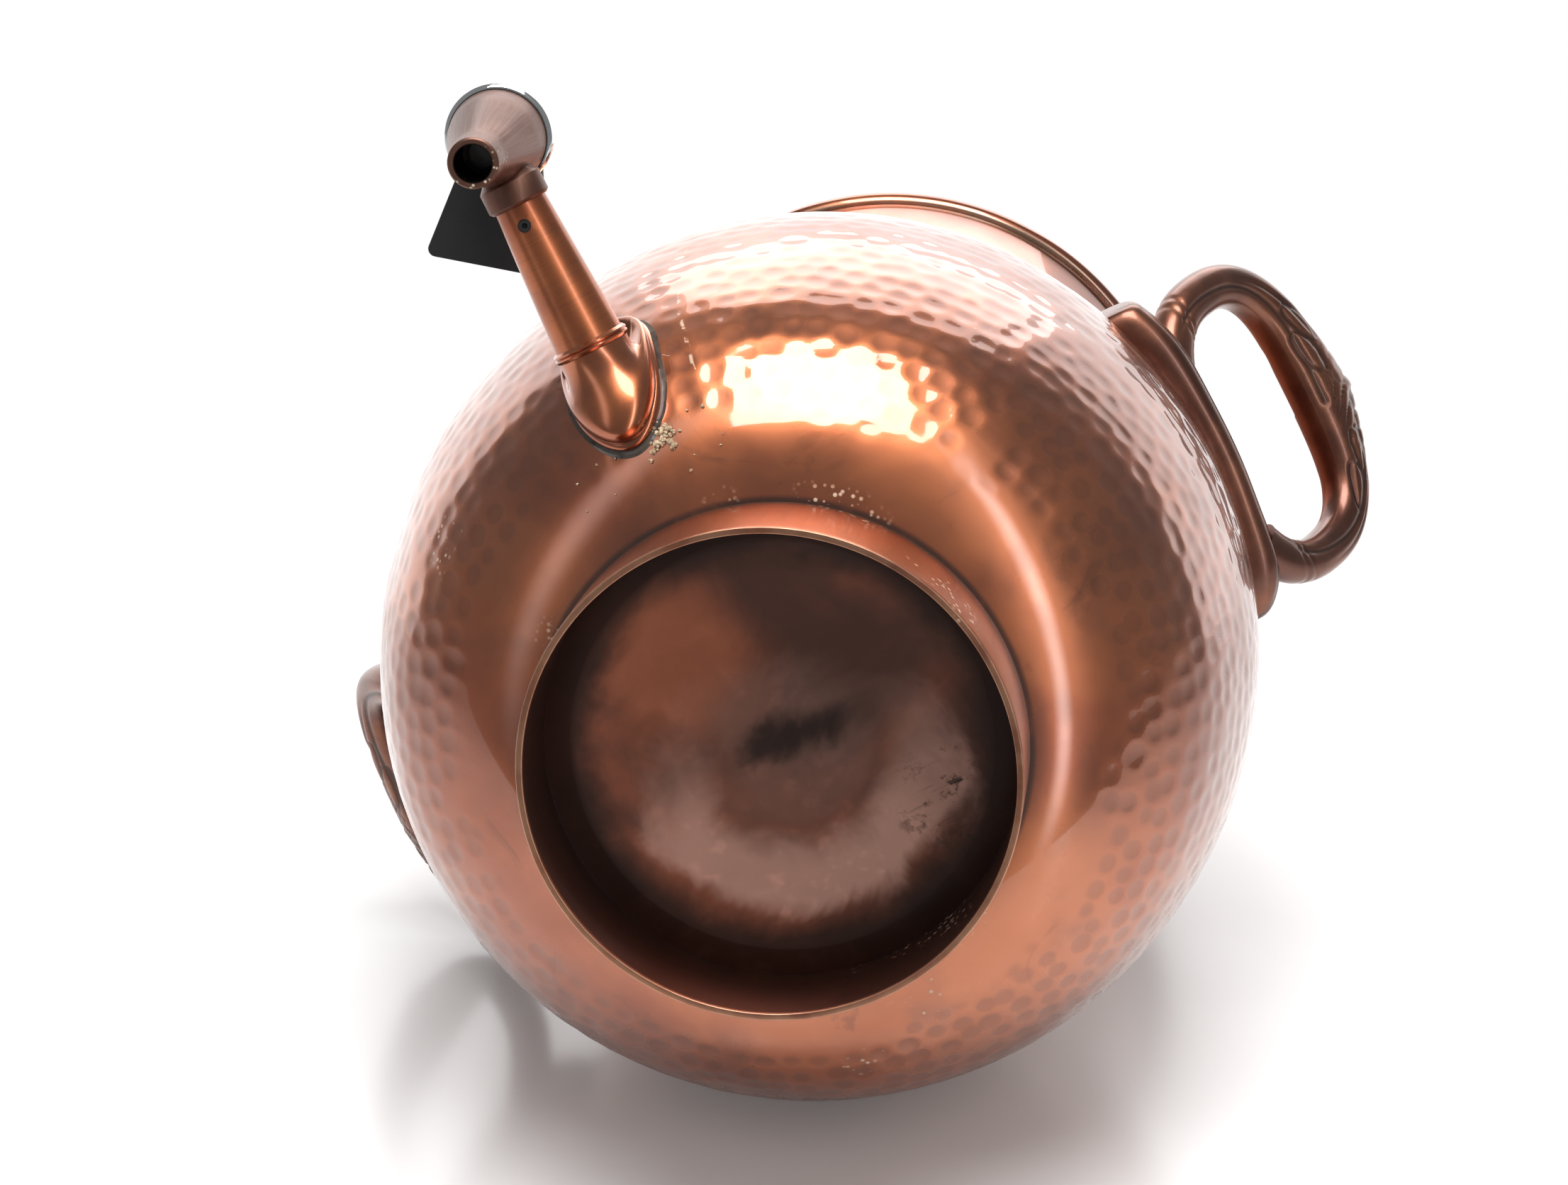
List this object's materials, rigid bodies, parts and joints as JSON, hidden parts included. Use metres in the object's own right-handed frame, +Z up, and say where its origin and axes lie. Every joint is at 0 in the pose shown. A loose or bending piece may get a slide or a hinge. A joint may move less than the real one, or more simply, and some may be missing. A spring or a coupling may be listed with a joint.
{
  "type": "kettle",
  "caption": "Round-bellied hammered copper kettle with a foot ring, side spout with a lever tap, two raised cast handles and a lift-off lid.",
  "frame": {"origin": "centre of the foot ring's lower edge, on the surface the kettle stands on", "axes": "+Z up along the kettle's axis, the spout points along -Y, the two handles stand at +X and -X"},
  "size_m": [0.4368, 0.431, 0.5596],
  "materials": {
    "copper": "antique brown copper under clear lacquer, hammered on the belly",
    "dark_copper": "dark bronze brown, cast relief",
    "steel": "plain",
    "chrome": "polished",
    "black_plastic": "matte",
    "black_rubber": "plain",
    "silicone": "translucent"
  },
  "bodies": {
    "kettle": {"body_shell": "copper", "rim_wire": "dark_copper", "foot_ring": "copper", "strap_right": "dark_copper", "strap_left": "dark_copper", "grip_right": "dark_copper", "grip_left": "dark_copper", "handle_screws": "steel", "handle_washers": "steel", "spout_gasket": "silicone", "spout_flange": "copper", "spout_washer": "steel", "spout_nut": "steel", "spout_ring": "copper", "spout_tube": "copper", "tap_body": "copper", "tap_seals": "black_rubber", "tap_lock_screw": "steel", "tap_bezel": "black_rubber", "tap_bonnet": "chrome", "bonnet_seal": "black_rubber", "valve_spring": "steel"},
    "swivel": {"thrust_washer": "black_plastic"},
    "stem": {"valve_stem": "steel", "seat_cup": "silicone", "lever_pin": "steel"},
    "lever": {"lever": "black_plastic"},
    "lid": {"lid_dome": "copper", "lid_skirt": "copper", "lid_seal": "silicone", "knob_collar": "dark_copper", "lid_knob": "copper", "knob_washer": "steel", "knob_screw": "steel"}
  },
  "joints": [
    {"name": "lever_swivel", "type": "hinge", "parent": "kettle", "child": "swivel", "pos_m": [0, -0.241, 0.108], "axis": [0, 0, 1], "continuous": true},
    {"name": "stem_lift", "type": "slide", "parent": "swivel", "child": "stem", "axis": [0, 0, 1], "range_m": [0, 0.003], "deforming": ["valve_spring"]},
    {"name": "lever_tilt", "type": "hinge", "parent": "stem", "child": "lever", "pos_m": [0, -0.241, 0.115], "axis": [0.7986, 0.6018, 0], "range_deg": [0, 28], "stiffness_Nm_per_rad": 0.03, "springref_deg": -57.3},
    {"name": "lid_lift", "type": "slide", "parent": "kettle", "child": "lid", "axis": [0, 0, 1], "range_m": [0, 0.15]}
  ],
  "couplings": [
    {"joint": "stem_lift", "follows": "lever_tilt", "m_per_rad": 0.006}
  ]
}
